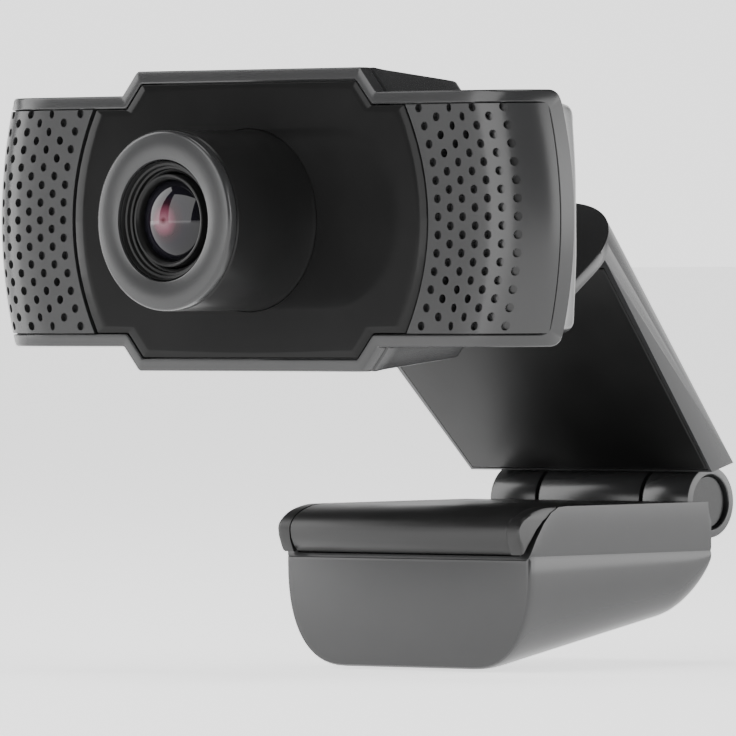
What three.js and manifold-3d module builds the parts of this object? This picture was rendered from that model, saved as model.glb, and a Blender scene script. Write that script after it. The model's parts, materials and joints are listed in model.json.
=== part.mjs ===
// Clip-on webcam: a head with a lens barrel, a tilt-and-swivel neck, a bent clip arm and a hinged foot.
// Millimetres, +Z up, the lens looks along -Y. The origin is the centre of the foot's flat grip pad.
import * as THREE from 'three';
import { ConvexGeometry } from 'three/addons/geometries/ConvexGeometry.js';
import { mergeVertices } from 'three/addons/utils/BufferGeometryUtils.js';
import Module from 'manifold-3d';

const wasm = await Module();
wasm.setup();

// ---- driving dimensions -------------------------------------------------------------------------
const clearance = 0.3; // between pieces that touch
const headPlace = { y: -41, z: 30.75 }; // lens axis and face plane, seen from the pad's centre

const head = {
  endHalfWidth: 40.05, endCornerX: 38.1, sideHalfHeight: 13.4,
  raisedX: 16, raisedZ: 16, stepX: 18.2,
  rim: 1.3, endRim: 0.32, skin: 1.5, flatX: 30, frontRadius: 60, shoulderX: 33.6, shoulderRadius: 6.9,
  rearY: 17, rearRaisedZ: 14.9, wall: 1.6,
};
const panel = { sideX: 22.2, bulgeX: 25.4, thick: 1.2 };
const barrel = { radius: 9.54, length: 13.3, ringInner: 6.4, wall: 1.1, ringThick: 1.2 };
const lens = { hoodInner: 5.0, cellRadius: 4.9, glassRadius: 3.6, holderRadius: 5.6 };
const tilt = { y: 20.8, z: -1, lugRadius: 2.7, pinRadius: 1.1, lugInner: 4.2, lugOuter: 7.2 };
const plate = {
  y: 31.18, z: -4.99, slope: THREE.MathUtils.degToRad(34.6), halfWidth: 20.9,
  rearCorner: 12, frontCorner: 4.5, front: -8.1, thick: 1.3,
};
const swivel = { radius: 7.5, thick: 2.2, shaft: 1.9, bore: 2.1, nutRadius: 4.4 };
const leg = {
  bottomHalfWidth: 17.4, innerTop: [34, -4.3], innerBottom: [55.45, -27.55], outerBottom: [59.3, -26.6],
};
const hinge = { y: 58.9, z: -30.9, radius: 3.95, half: 14.3, footHalf: 7.3, armInner: 7.7, pinRadius: 1.5 };
const foot = {
  halfWidth: 17.5, top: -30.75, band: 5.3, lipY: 25, lipBottom: -48.2, slope: 0.204,
  rearY: 55.2, corner: 6.8, relief: 4.25, armRelief: 4.6,
};
const grip = { frontY: 23.5, flatY: 28.7, backY: 52.6, noseDepth: 5.1, thick: 1.6, halfWidth: 15.6 };
const armPad = { low: 2.2, high: 27, lowHalf: 15.6, highHalf: 18.0, thick: 1.2 };
const cover = { low: 6, high: 26.5, lowHalf: 13, highHalf: 8.6, thick: 1.4 };
const insert = { y: 40, radius: 4.4, bore: 2.9, depth: 6, wall: 1.6 };
const screw = { x: 27, z: 8.6, shank: 0.8, head: 1.7, headThick: 0.9, length: 7, sunk: 1.0, seat: 2.2 };
const gland = { radius: 2.0, lip: 2.7, bore: 1.3, z: -9.5, front: -14.6, step: -17.3, back: -18.2 };

// ---- solids -------------------------------------------------------------------------------------
function solid(geometry) {
  const bare = geometry.index ? geometry.toNonIndexed() : geometry.clone();
  bare.deleteAttribute('normal');
  bare.deleteAttribute('uv');
  const merged = mergeVertices(bare, 1e-4);
  const mesh = new wasm.Mesh({
    numProp: 3,
    vertProperties: new Float32Array(merged.attributes.position.array),
    triVerts: new Uint32Array(merged.index.array),
  });
  return new wasm.Manifold(mesh);
}

function geometryOf(body) {
  const mesh = body.getMesh();
  const geometry = new THREE.BufferGeometry();
  geometry.setAttribute('position', new THREE.BufferAttribute(new Float32Array(mesh.vertProperties), 3));
  geometry.setIndex(new THREE.BufferAttribute(new Uint32Array(mesh.triVerts), 1));
  geometry.computeVertexNormals();
  return geometry;
}

function shapeOf(points) {
  return new THREE.Shape(points.map(([a, b]) => new THREE.Vector2(a, b)));
}

const turnToY = new THREE.Matrix4().makeRotationX(Math.PI / 2);
const turnToX = new THREE.Matrix4().makeBasis(
  new THREE.Vector3(0, 1, 0), new THREE.Vector3(0, 0, 1), new THREE.Vector3(1, 0, 0));

// An outline in X and Z, carried along Y.
function prismY(points, y0, y1) {
  const geometry = new THREE.ExtrudeGeometry(shapeOf(points), { depth: y1 - y0, bevelEnabled: false });
  return solid(geometry.applyMatrix4(turnToY).translate(0, y1, 0));
}

// An outline in Y and Z, carried along X.
function prismX(points, x0, x1) {
  const geometry = new THREE.ExtrudeGeometry(shapeOf(points), { depth: x1 - x0, bevelEnabled: false });
  return solid(geometry.applyMatrix4(turnToX).translate(x0, 0, 0));
}

// An outline in X and Y, carried along Z.
function prismZ(points, z0, z1) {
  const geometry = new THREE.ExtrudeGeometry(shapeOf(points), { depth: z1 - z0, bevelEnabled: false });
  return solid(geometry.translate(0, 0, z0));
}

function cylinderX(radius, x0, x1, y, z, segments = 28) {
  const geometry = new THREE.CylinderGeometry(radius, radius, x1 - x0, segments);
  return solid(geometry.rotateZ(-Math.PI / 2).translate((x0 + x1) / 2, y, z));
}

// A closed profile of [radius, distance] pairs turned about the Y axis; distance runs along -Y.
function latheY(profile, segments = 40) {
  const points = profile.map(([r, d]) => new THREE.Vector2(r, d));
  const geometry = new THREE.LatheGeometry([...points, points[0]], segments);
  return solid(geometry.rotateX(Math.PI));
}

// A round plug along -Y from its profile, which starts and ends on the axis.
function plugY(profile, segments = 32) {
  const points = profile.map(([r, d]) => new THREE.Vector2(r, d));
  return solid(new THREE.LatheGeometry(points, segments).rotateX(Math.PI));
}

function hull(points) {
  return solid(new ConvexGeometry(points.map(([x, y, z]) => new THREE.Vector3(x, y, z))));
}

function box(x0, x1, y0, y1, z0, z1) {
  const geometry = new THREE.BoxGeometry(x1 - x0, y1 - y0, z1 - z0);
  return solid(geometry.translate((x0 + x1) / 2, (y0 + y1) / 2, (z0 + z1) / 2));
}

function join(bodies) {
  return bodies.reduce((whole, body) => whole.add(body));
}

function cut(body, tools) {
  return tools.reduce((rest, tool) => rest.subtract(tool), body);
}

function arc(cx, cy, radius, from, to, steps) {
  return Array.from({ length: steps + 1 }, (_, i) => {
    const angle = THREE.MathUtils.degToRad(from + (to - from) * i / steps);
    return [cx + radius * Math.cos(angle), cy + radius * Math.sin(angle)];
  });
}

const mirrored = (points) => [...points, ...points.map(([x, z]) => [-x, z]).reverse()];

// ---- the scene ----------------------------------------------------------------------------------
const webcam = new THREE.Group();
const headGroup = new THREE.Group();
headGroup.position.set(0, headPlace.y, headPlace.z);
webcam.add(headGroup);

const finishes = {
  shell: { color: 0x55575a, roughness: 0.42, metalness: 0 },
  gloss: { color: 0x0c0c0d, roughness: 0.08, metalness: 0 },
  soft: { color: 0x1b1b1c, roughness: 0.8, metalness: 0 },
  glass: { color: 0x2a2436, roughness: 0.03, metalness: 0 },
  steel: { color: 0xa8abad, roughness: 0.3, metalness: 1 },
  brass: { color: 0xb8924a, roughness: 0.35, metalness: 1 },
  board: { color: 0x1d4a2c, roughness: 0.55, metalness: 0 },
  chip: { color: 0x141416, roughness: 0.4, metalness: 0 },
};

function addPiece(name, body, finish) {
  const piece = new THREE.Mesh(geometryOf(body), new THREE.MeshStandardMaterial(finishes[finish]));
  piece.name = name;
  headGroup.add(piece);
  return piece;
}

// ---- head ---------------------------------------------------------------------------------------
const arcEnd = (radius, run) => Math.asin(run / radius);
const frontAngle = arcEnd(head.frontRadius, head.shoulderX - head.flatX);

// Half of the front curve seen from above: flat, a wide arc, then the tight shoulder at the end.
function frontCurve(offset, lastAngle) {
  const points = [[0, offset]];
  const wide = head.frontRadius - offset;
  for (let i = 0; i <= 5; i += 1) {
    const angle = frontAngle * i / 5;
    points.push([head.flatX + wide * Math.sin(angle), head.frontRadius - wide * Math.cos(angle)]);
  }
  const tight = head.shoulderRadius - offset;
  const centreX = head.shoulderX - head.shoulderRadius * Math.sin(frontAngle);
  const centreY = head.frontRadius * (1 - Math.cos(frontAngle)) + head.shoulderRadius * Math.cos(frontAngle);
  const end = THREE.MathUtils.degToRad(lastAngle);
  for (let i = 1; i <= 6; i += 1) {
    const angle = frontAngle + (end - frontAngle) * i / 6;
    points.push([centreX + tight * Math.sin(angle), centreY - tight * Math.cos(angle)]);
  }
  return points;
}

// A skin between two offsets of the front curve, as tall as any head piece.
function frontSkin(near, far, lastAngle = 88) {
  const front = frontCurve(near, lastAngle);
  const back = frontCurve(far, lastAngle).reverse();
  const right = [...front.slice(1), ...back.slice(0, -1)];
  const left = right.map(([x, y]) => [-x, y]).reverse();
  return prismZ([...right, ...left], -20, 20);
}

// The stepped front outline, pulled in by an inset; its ends bulge outward.
function headOutline(inset, endInset = inset) {
  const z = head.sideHalfHeight - inset;
  const cornerX = head.endCornerX - endInset;
  const bulge = head.endHalfWidth - head.endCornerX;
  const end = [];
  for (let i = 0; i <= 8; i += 1) {
    const height = z - 2 * z * i / 8;
    end.push([cornerX + bulge * (1 - (height / z) ** 2), height]);
  }
  const rise = inset * 0.45;
  const right = [
    [head.raisedX - rise, head.raisedZ - inset], [head.stepX - rise, z], ...end,
    [head.stepX - rise, -z], [head.raisedX - rise, inset - head.raisedZ],
  ];
  return mirrored(right);
}

// The black face: the stepped middle with sides that bulge outward.
function panelOutline(inset) {
  const z = head.sideHalfHeight - head.rim - inset;
  const rise = (head.rim + inset) * 0.45;
  const side = [];
  for (let i = 0; i <= 8; i += 1) {
    const height = z - 2 * z * i / 8;
    const reach = panel.sideX + (panel.bulgeX - panel.sideX) * (1 - (height / z) ** 2);
    side.push([reach - inset, height]);
  }
  const raisedZ = head.raisedZ - head.rim - inset;
  return mirrored([
    [head.raisedX - rise, raisedZ], [head.stepX - rise, z], ...side,
    [head.stepX - rise, -z], [head.raisedX - rise, -raisedZ],
  ]);
}

function addFrontBezel() {
  const outer = prismY(headOutline(0), -2, 20);
  const window = prismY(headOutline(head.rim, head.endRim), -3, 21);
  addPiece('front_bezel', outer.subtract(window).intersect(frontSkin(0, head.skin)), 'shell');
}

function addFacePanel() {
  const plateBody = prismY(panelOutline(clearance / 2), -2, 20).intersect(frontSkin(0.05, panel.thick));
  const hole = plugY([[0, -3], [barrel.radius + clearance, -3], [barrel.radius + clearance, 3], [0, 3]], 40);
  addPiece('face_panel', plateBody.subtract(hole), 'gloss');
}

function addGrilles() {
  const insert = prismY(headOutline(head.rim + clearance / 2, head.endRim + clearance / 2), -2, 20)
    .subtract(prismY(panelOutline(-clearance / 2), -3, 21))
    .intersect(frontSkin(0, head.skin));
  addPiece('left_grille', insert.intersect(box(-45, -19.5, -5, 20, -13, 13)), 'shell');
  addPiece('right_grille', insert.intersect(box(19.5, 45, -5, 20, -13, 13)), 'shell');
}

// Half of the rear shell's plan outline, from the middle of its back round to its front edge.
const rearPlan = (inset) => [
  [0, head.rearY - inset], [16, head.rearY - 0.6 - inset], [28, 14.6 - inset],
  [34 - inset / 2, 12.6 - inset], [37.4 - inset, 10 - inset * 0.6], [39.2 - inset, 8.0],
];

function rearSolid(inset) {
  const back = rearPlan(inset);
  const front = frontCurve(head.skin + clearance, 86).filter(([x]) => x < 39 - inset).reverse();
  const right = [...back.slice(1), ...front.slice(0, -1)];
  const left = right.map(([x, y]) => [-x, y]).reverse();
  const upper = [
    [-2, head.raisedZ + 0.1 - inset], [15.8, head.rearRaisedZ - inset],
    [head.rearY, head.rearRaisedZ - 0.9 - inset],
  ];
  const taper = [...upper, ...upper.map(([y, z]) => [y, -z]).reverse()];
  return prismZ([...right, ...left], -20, 20)
    .intersect(prismY(headOutline(inset, inset - 0.4), -2, 20))
    .intersect(prismX(taper, -45, 45));
}

const screwPlaces = [1, -1].flatMap((rise) => [-1, 1].map((side) => [side * screw.x, rise * screw.z]));

// Where the back of the shell lies behind a screw.
const rearAt = (x) => head.rearY - 0.6 - (Math.abs(x) - 16) * (2.1 / 14);

// A round plug along -Y at a place on the head.
function plugAt(x, z, profile, segments = 20) {
  return plugY(profile, segments).translate([x, 0, z]);
}

function addRearHousing() {
  const hollow = rearSolid(head.wall).add(prismY(headOutline(head.wall + 0.6, 4), 0, 9));
  const skinSpace = frontSkin(-3, head.skin + clearance, 88);
  let shell = cut(rearSolid(0), [hollow, skinSpace]);
  const lugs = [1, -1].map((side) => {
    const [x0, x1] = [side * tilt.lugInner, side * tilt.lugOuter].sort((a, b) => a - b);
    const round = cylinderX(tilt.lugRadius, x0, x1, tilt.y, tilt.z);
    const root = box(x0, x1, head.rearY - 1.2, tilt.y, tilt.z - tilt.lugRadius, tilt.z + tilt.lugRadius);
    return round.add(root);
  });
  shell = join([shell, ...lugs]);
  const pinBore = cylinderX(tilt.pinRadius + 0.1, -9, 9, tilt.y, tilt.z);
  const bores = screwPlaces.map(([x, z]) => plugAt(x, z, [
    [0, -17], [screw.head + 0.2, -17], [screw.head + 0.2, -rearAt(x) + screw.seat],
    [screw.shank + 0.3, -rearAt(x) + screw.seat], [screw.shank + 0.3, -5], [0, -5],
  ]));
  const cableRoom = gland.radius + clearance;
  const cable = plugAt(0, gland.z, [[0, -19], [cableRoom, -19], [cableRoom, -12], [0, -12]]);
  addPiece('rear_housing', cut(shell, [pinBore, ...bores, cable]), 'shell');
}

function addHousingScrews() {
  screwPlaces.forEach(([x, z], i) => {
    const back = -rearAt(x) + screw.sunk;
    const neckAt = back + screw.headThick;
    const body = plugAt(x, z, [
      [0, back], [screw.head, back], [screw.head, neckAt], [screw.shank, neckAt],
      [screw.shank, back + screw.length], [0, back + screw.length],
    ], 16);
    addPiece(`housing_screw_${i + 1}`, body, 'steel');
  });
}

function addCableInlet() {
  const body = plugAt(0, gland.z, [
    [gland.bore, gland.back], [gland.lip - 0.3, gland.back], [gland.lip, gland.back + 0.3],
    [gland.lip, gland.step], [gland.radius, gland.step], [gland.radius, gland.front],
    [gland.bore, gland.front], [gland.bore, gland.back],
  ]);
  addPiece('cable_inlet', body, 'soft');
}

// ---- lens assembly, turned about the lens axis ----------------------------------------------------
function addBarrel() {
  const r = barrel.radius;
  const face = barrel.length - barrel.ringThick;
  addPiece('lens_barrel', latheY([
    [r - barrel.wall, -2.6], [r + 1.4, -2.6], [r + 1.4, -1.6], [r, -1.6], [r, face - 0.2], [r - 0.2, face],
    [r - barrel.wall, face],
  ], 56), 'gloss');
}

function addFrontRing() {
  const near = barrel.length - barrel.ringThick + clearance;
  addPiece('lens_front_ring', latheY([
    [barrel.ringInner, near], [barrel.radius - 0.05, near], [barrel.radius - 0.05, barrel.length - 0.2],
    [barrel.radius - 0.25, barrel.length], [barrel.ringInner + 0.15, barrel.length],
    [barrel.ringInner, barrel.length - 0.15],
  ], 56), 'shell');
}

function addHood() {
  const front = barrel.length - 0.25;
  const outer = barrel.ringInner - clearance / 2;
  addPiece('lens_hood', latheY([
    [lens.hoodInner, 3], [outer, 3], [outer, front], [outer - 0.35, front], [outer - 0.5, front - 0.6],
    [outer - 0.85, front - 0.6], [outer - 0.95, front - 1.1], [lens.hoodInner, front - 1.1],
  ], 44), 'gloss');
}

function addLensCell() {
  const front = barrel.length - 1.0;
  addPiece('lens_cell', latheY([
    [lens.glassRadius - 0.5, 2.2], [lens.cellRadius - 0.1, 2.2], [lens.cellRadius - 0.1, front],
    [lens.cellRadius - 0.5, front], [lens.glassRadius + 0.35, front - 0.35],
    [lens.glassRadius + 0.15, front - 0.35], [lens.glassRadius + 0.15, front - 2.4],
    [lens.glassRadius - 0.5, front - 2.4],
  ], 40), 'gloss');
}

function addGlasses() {
  const front = barrel.length - 1.6;
  const r = lens.glassRadius;
  addPiece('front_glass', plugY([
    [0, front - 1.4], [r - 0.6, front - 1.4], [r, front - 0.6], [r * 0.8, front - 0.1],
    [r * 0.45, front + 0.35], [0, front + 0.5],
  ], 32), 'glass');
  addPiece('inner_lens', plugY([
    [0, 6.2], [2.4, 6.2], [2.9, 6.7], [2.4, 7.6], [1.3, 8.1], [0, 8.3],
  ], 24), 'glass');
}

function addLensHolder() {
  addPiece('lens_holder', latheY([
    [3.2, -8.4], [6.6, -8.4], [6.6, -6.8], [lens.holderRadius, -6.8], [lens.holderRadius, -1.0],
    [lens.cellRadius + 0.9, 1.6], [3.2, 1.6],
  ], 28), 'chip');
}

function addElectronics() {
  addPiece('main_board', box(-15, 15, 8.9, 9.9, -10.5, 10.5), 'board');
  addPiece('image_sensor', box(-2.1, 2.1, 7.7, 8.6, -1.9, 1.9), 'chip');
  addPiece('left_microphone', box(-30, -27, 4.4, 5.6, -1.5, 1.5), 'chip');
  addPiece('right_microphone', box(27, 30, 4.4, 5.6, -1.5, 1.5), 'chip');
}

// ---- neck: swivels on the arm's plate, carries the tilt pin ----------------------------------------
const up = [Math.cos(plate.slope), Math.sin(plate.slope)]; // along the plate, towards its back
const out = [-Math.sin(plate.slope), Math.cos(plate.slope)]; // away from its upper face

// A point at a distance along the plate and above its upper face.
function onPlate(x, along, above) {
  return [x, plate.y + up[0] * along + out[0] * above, plate.z + up[1] * along + out[1] * above];
}

// A round profile of [radius, height] pairs whose axis stands on the plate.
function lathePlate(profile, segments = 28) {
  const points = profile.map(([r, h]) => new THREE.Vector2(r, h));
  const geometry = new THREE.LatheGeometry(points, segments);
  return solid(geometry.rotateX(Math.PI / 2).rotateX(plate.slope).translate(0, plate.y, plate.z));
}

function addNeck() {
  const { radius, thick } = swivel;
  const disc = lathePlate([[0, clearance], [radius, clearance], [radius, thick], [0, thick]]);
  const shaft = lathePlate([[0, -3.1], [swivel.shaft, -3.1], [swivel.shaft, 1], [0, 1]], 24);
  const eyeHalf = tilt.lugInner - clearance;
  const points = [];
  for (const x of [-eyeHalf, eyeHalf]) {
    for (const [y, z] of arc(tilt.y, tilt.z, tilt.lugRadius, 0, 330, 11)) points.push([x, y, z]);
    for (const along of [-4.5, 4.5]) points.push(onPlate(x, along, swivel.thick - 0.4));
  }
  const bore = cylinderX(tilt.pinRadius + 0.1, -8, 8, tilt.y, tilt.z, 24);
  addPiece('neck', join([disc, shaft, hull(points)]).subtract(bore), 'shell');
  const nut = [[0, -4.9], [swivel.nutRadius - 0.4, -4.9], [swivel.nutRadius - 0.4, -3.4], [0, -3.4]];
  addPiece('swivel_nut', lathePlate(nut, 20), 'steel');
}

function addTiltPin() {
  const half = tilt.lugOuter - 0.2;
  addPiece('tilt_pin', cylinderX(tilt.pinRadius, -half, half, tilt.y, tilt.z, 24), 'steel');
}

// ---- clip arm: a sloping plate and a leg down to the hinge ------------------------------------------
function plateRing(above) {
  const cx = plate.halfWidth - plate.rearCorner;
  const fx = plate.halfWidth - plate.frontCorner;
  const right = [
    ...arc(fx, plate.front + plate.frontCorner, plate.frontCorner, -90, 0, 4),
    ...arc(cx, 0, plate.rearCorner, 0, 90, 10),
  ];
  return mirrored(right).map(([x, along]) => onPlate(x, along, above));
}

function addClipArm() {
  const slab = hull([...plateRing(0), ...plateRing(-plate.thick)]);
  const boss = lathePlate([[0, -5.6], [6, -5.6], [7.5, -plate.thick + 0.2], [0, -plate.thick + 0.2]]);
  const lip = hull([-13, 13].flatMap((x) => [
    onPlate(x, plate.front + 0.2, -0.6), onPlate(x, plate.front + 1.6, -0.6),
    onPlate(x, plate.front + 0.4, -3.6), onPlate(x, plate.front + 1.4, -3.6),
  ]));
  const backRing = plateRing(0).filter(([, y]) => y > plate.y + 1);
  const legHull = hull([
    ...backRing,
    ...[-1, 1].flatMap((side) => [
      [side * leg.bottomHalfWidth, ...leg.innerBottom], [side * leg.bottomHalfWidth, ...leg.outerBottom],
    ]),
  ]);
  const inward = [leg.innerBottom[0] - leg.innerTop[0], leg.innerBottom[1] - leg.innerTop[1]];
  const jawSpace = prismX([
    [leg.innerTop[0] - inward[0], leg.innerTop[1] - inward[1]],
    [leg.innerBottom[0] + inward[0], leg.innerBottom[1] + inward[1]],
    [leg.innerTop[0] - 60, leg.innerTop[1] - 60],
  ], -30, 30);
  const knuckles = [-1, 1].flatMap((side) => {
    const [x0, x1] = [side * hinge.armInner, side * hinge.half].sort((a, b) => a - b);
    const points = [];
    for (const x of [x0, x1]) {
      for (const [y, z] of arc(hinge.y, hinge.z, hinge.radius, 0, 350, 35)) points.push([x, y, z]);
      points.push([x, ...leg.innerBottom], [x, ...leg.outerBottom]);
    }
    return [hull(points)];
  });
  const body = join([legHull.subtract(jawSpace), slab, boss, lip, ...knuckles]);
  const capRoom = [-1, 1].map((side) => {
    const [x0, x1] = [side * (hinge.half - 1.6), side * (hinge.half + 1)].sort((a, b) => a - b);
    return cylinderX(3.0, x0, x1, hinge.y, hinge.z);
  });
  addPiece('clip_arm', cut(body, [
    lathePlate([[0, -9], [swivel.bore, -9], [swivel.bore, 3], [0, 3]], 24),
    lathePlate([[0, -9], [swivel.nutRadius, -9], [swivel.nutRadius, -3.1], [0, -3.1]], 24),
    cylinderX(hinge.pinRadius + 0.1, -16, 16, hinge.y, hinge.z, 24),
    padPrism(0.25, 1.5), coverPrism(clearance, 2.1), coverPrism(-1.4, 4.2), ...capRoom,
  ]), 'shell');
}

// A plate lying in a sloping plane: an outline of [x, distance] pairs, between two depths.
function slopedPlate(start, along, outline, high, low) {
  const normal = [-along[1], along[0]];
  const place = (axis, run, depth) => start[axis] + along[axis] * run + normal[axis] * depth;
  const points = [high, low].flatMap((depth) => (
    outline.map(([x, run]) => [x, place(0, run, depth), place(1, run, depth)])));
  return hull(points);
}

const unit = (a, b) => {
  const run = Math.hypot(b[0] - a[0], b[1] - a[1]);
  return [(b[0] - a[0]) / run, (b[1] - a[1]) / run];
};

// The soft pad let into the inner face of the leg; grow widens it into its pocket.
function padPrism(grow, thick) {
  const along = unit(leg.innerBottom, leg.innerTop);
  const outline = mirrored([
    [armPad.lowHalf + grow, armPad.low - grow], [armPad.highHalf + grow, armPad.high + grow],
  ]);
  return slopedPlate(leg.innerBottom, along, outline, grow > 0 ? 1 : 0.1, -thick);
}

// The cover let into the back of the leg.
const plateBack = onPlate(0, plate.rearCorner, 0).slice(1);

function coverPrism(grow, thick) {
  const along = unit(leg.outerBottom, plateBack);
  const outline = mirrored([
    [cover.lowHalf + grow, cover.low - grow], [cover.highHalf + grow, cover.high + grow],
  ]);
  return slopedPlate(leg.outerBottom, along, outline, grow === 0 ? -0.05 : -3, thick);
}

function addArmParts() {
  addPiece('arm_pad', padPrism(0, armPad.thick), 'soft');
  addPiece('arm_cover', coverPrism(0, cover.thick), 'shell');
  for (const [side, word] of [[-1, 'left'], [1, 'right']]) {
    const [x0, x1] = [side * (hinge.half - 1.3), side * (hinge.half - 0.5)].sort((a, b) => a - b);
    addPiece(`${word}_hinge_cap`, cylinderX(2.9, x0, x1, hinge.y, hinge.z), 'shell');
  }
}

// ---- foot -------------------------------------------------------------------------------------------
function footHull() {
  const points = [];
  const section = (y, bottom, top) => {
    const cx = foot.halfWidth - 0.5 - foot.corner;
    const cz = bottom + foot.corner;
    for (const side of [-1, 1]) {
      for (const [x, z] of arc(cx, cz, foot.corner, -90, 0, 6)) points.push([side * x, y, z]);
      points.push([side * foot.halfWidth, y, foot.top - foot.band]);
      if (top) points.push([side * foot.halfWidth, y, foot.top]);
    }
  };
  const bottomAt = (y) => foot.lipBottom + (y - foot.lipY - 1.5) * foot.slope;
  section(foot.lipY, foot.lipBottom + 0.9, false);
  section(foot.lipY + 1.0, foot.lipBottom, false);
  section(foot.lipY + 6.4, bottomAt(foot.lipY + 6.4), true);
  section(49, bottomAt(49), true);
  const rear = [[52.2, -41.9], [54.2, -39.6], [foot.rearY, -36.2]];
  for (const [y, z] of rear) {
    for (const side of [-1, 1]) {
      points.push([side * (foot.halfWidth - 2.5), y, z], [side * (foot.halfWidth - 0.9), y, z + 2]);
    }
  }
  for (const side of [-1, 1]) {
    points.push([side * foot.halfWidth, 28.1, foot.top - 2.5]);
    points.push([side * foot.halfWidth, foot.rearY, foot.top - foot.band]);
    points.push([side * foot.halfWidth, foot.rearY - 0.3, foot.top]);
  }
  return hull(points);
}

// The grip pad's side profile: a flat top whose front rolls over into a thick nose.
function gripProfile(grow) {
  const nose = [];
  const high = foot.top + grow;
  for (let i = 0; i <= 6; i += 1) {
    const angle = Math.PI / 2 * i / 6;
    nose.push([
      grip.flatY - (grip.flatY - grip.frontY + grow) * Math.sin(angle),
      high - 2.7 * (1 - Math.cos(angle)),
    ]);
  }
  const low = foot.top - grip.noseDepth - grow;
  const under = foot.top - grip.thick - grow;
  return [
    [grip.backY + grow, high], ...nose, [foot.lipY - grow, low], [foot.lipY + 2.4 + grow, low],
    [foot.lipY + 4.4 + grow, under], [grip.backY + grow, under],
  ];
}

function addFoot() {
  const half = grip.halfWidth;
  const side = half + clearance;
  const nose = prismX(gripProfile(0.05), -side, side);
  const pocket = prismX(gripProfile(clearance), -side, side);
  const above = box(-side, side, 15, grip.backY + clearance, foot.top - 1, foot.top + 5);
  const inFront = box(-side, side, 15, 27, foot.top - grip.noseDepth - clearance, foot.top + 5);
  const room = hull([-14, 14].flatMap((x) => [
    [x, 28.4, -32], [x, 51, -32], [x * 0.72, 28.4, -45.4], [x * 0.72, 46, -41.8], [x * 0.85, 51, -38.6],
  ]));
  const rear = cylinderX(foot.relief, -30, 30, hinge.y, hinge.z, 36);
  const swing = [-1, 1].map((way) => {
    const [x0, x1] = [way * (hinge.armInner - 0.3), way * (hinge.half + 0.3)].sort((a, b) => a - b);
    return cylinderX(foot.armRelief, x0, x1, hinge.y, hinge.z, 36);
  });
  const core = cylinderX(hinge.radius, -hinge.footHalf, hinge.footHalf, hinge.y, hinge.z, 36);
  const web = hull([-hinge.footHalf, hinge.footHalf].flatMap((x) => [
    [x, 52.8, -32.6], [x, 52.8, -37.2], [x, 57.5, -32.2], [x, 57.5, -34.4],
  ]));
  const shell = cut(footHull(), [nose, pocket, above, inFront, room, rear, ...swing]);
  const bore = cylinderX(hinge.pinRadius + 0.1, -16, 16, hinge.y, hinge.z, 24);
  const insertRoom = insertSolid(clearance / 2, 0.4);
  const seat = insertSolid(insert.wall, 0.3).intersect(footHull());
  addPiece('foot_shell', cut(join([shell, core, web, seat]), [bore, insertRoom]), 'shell');
  addPiece('foot_pad', prismX(gripProfile(0), -half, half), 'soft');
  addPiece('hinge_pin', cylinderX(hinge.pinRadius, -12.2, 12.2, hinge.y, hinge.z, 24), 'steel');
}

// The threaded insert in the underside, square to the sloping bottom.
function latheUnder(profile) {
  const bottom = foot.lipBottom + (insert.y - foot.lipY - 1.5) * foot.slope;
  const geometry = new THREE.LatheGeometry(profile.map(([r, h]) => new THREE.Vector2(r, h)), 24);
  return solid(geometry.rotateX(Math.PI / 2).rotateX(Math.atan(foot.slope)).translate(0, insert.y, bottom));
}

function insertSolid(grow, extra) {
  const radius = insert.radius + grow;
  return latheUnder([[0, -extra], [radius, -extra], [radius, insert.depth + grow], [0, insert.depth + grow]]);
}

function addTripodInsert() {
  const top = insert.depth - 0.2;
  addPiece('tripod_insert', latheUnder([
    [insert.bore, 0.1], [insert.radius, 0.1], [insert.radius, top], [0, top],
    [0, top - 1], [insert.bore, top - 1], [insert.bore, 0.1],
  ]), 'brass');
}

addFrontBezel();
addFacePanel();
addGrilles();
addRearHousing();
addHousingScrews();
addCableInlet();
addBarrel();
addFrontRing();
addHood();
addLensCell();
addGlasses();
addLensHolder();
addElectronics();
addNeck();
addTiltPin();
addClipArm();
addArmParts();
addFoot();
addTripodInsert();

export default webcam;
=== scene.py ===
import json
import math

import bmesh
import bpy
from mathutils import Matrix, Vector


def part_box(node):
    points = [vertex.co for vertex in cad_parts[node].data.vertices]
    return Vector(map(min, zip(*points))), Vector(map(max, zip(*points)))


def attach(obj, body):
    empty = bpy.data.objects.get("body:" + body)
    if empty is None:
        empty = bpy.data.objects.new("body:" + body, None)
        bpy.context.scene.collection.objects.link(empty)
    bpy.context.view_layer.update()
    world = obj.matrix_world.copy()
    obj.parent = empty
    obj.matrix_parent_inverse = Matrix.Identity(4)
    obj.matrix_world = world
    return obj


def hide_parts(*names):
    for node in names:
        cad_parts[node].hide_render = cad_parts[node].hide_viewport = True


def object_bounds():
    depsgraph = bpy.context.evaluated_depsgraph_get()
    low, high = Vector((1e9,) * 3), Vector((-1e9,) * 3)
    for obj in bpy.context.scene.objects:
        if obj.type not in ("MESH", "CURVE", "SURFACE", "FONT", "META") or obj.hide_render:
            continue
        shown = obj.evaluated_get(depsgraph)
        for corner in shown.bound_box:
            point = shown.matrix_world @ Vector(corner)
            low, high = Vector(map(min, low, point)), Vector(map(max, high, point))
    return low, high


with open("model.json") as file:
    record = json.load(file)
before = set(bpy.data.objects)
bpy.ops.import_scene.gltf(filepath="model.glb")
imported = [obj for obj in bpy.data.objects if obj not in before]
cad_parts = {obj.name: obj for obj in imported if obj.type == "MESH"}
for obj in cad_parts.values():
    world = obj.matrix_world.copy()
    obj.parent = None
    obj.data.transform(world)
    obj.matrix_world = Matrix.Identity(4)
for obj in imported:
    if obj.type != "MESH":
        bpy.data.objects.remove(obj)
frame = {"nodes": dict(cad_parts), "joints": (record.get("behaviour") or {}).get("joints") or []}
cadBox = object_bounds()
mm = 0.001


def boxMiddle(node):
    low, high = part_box(node)
    return (Vector(low) + Vector(high)) / 2


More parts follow.
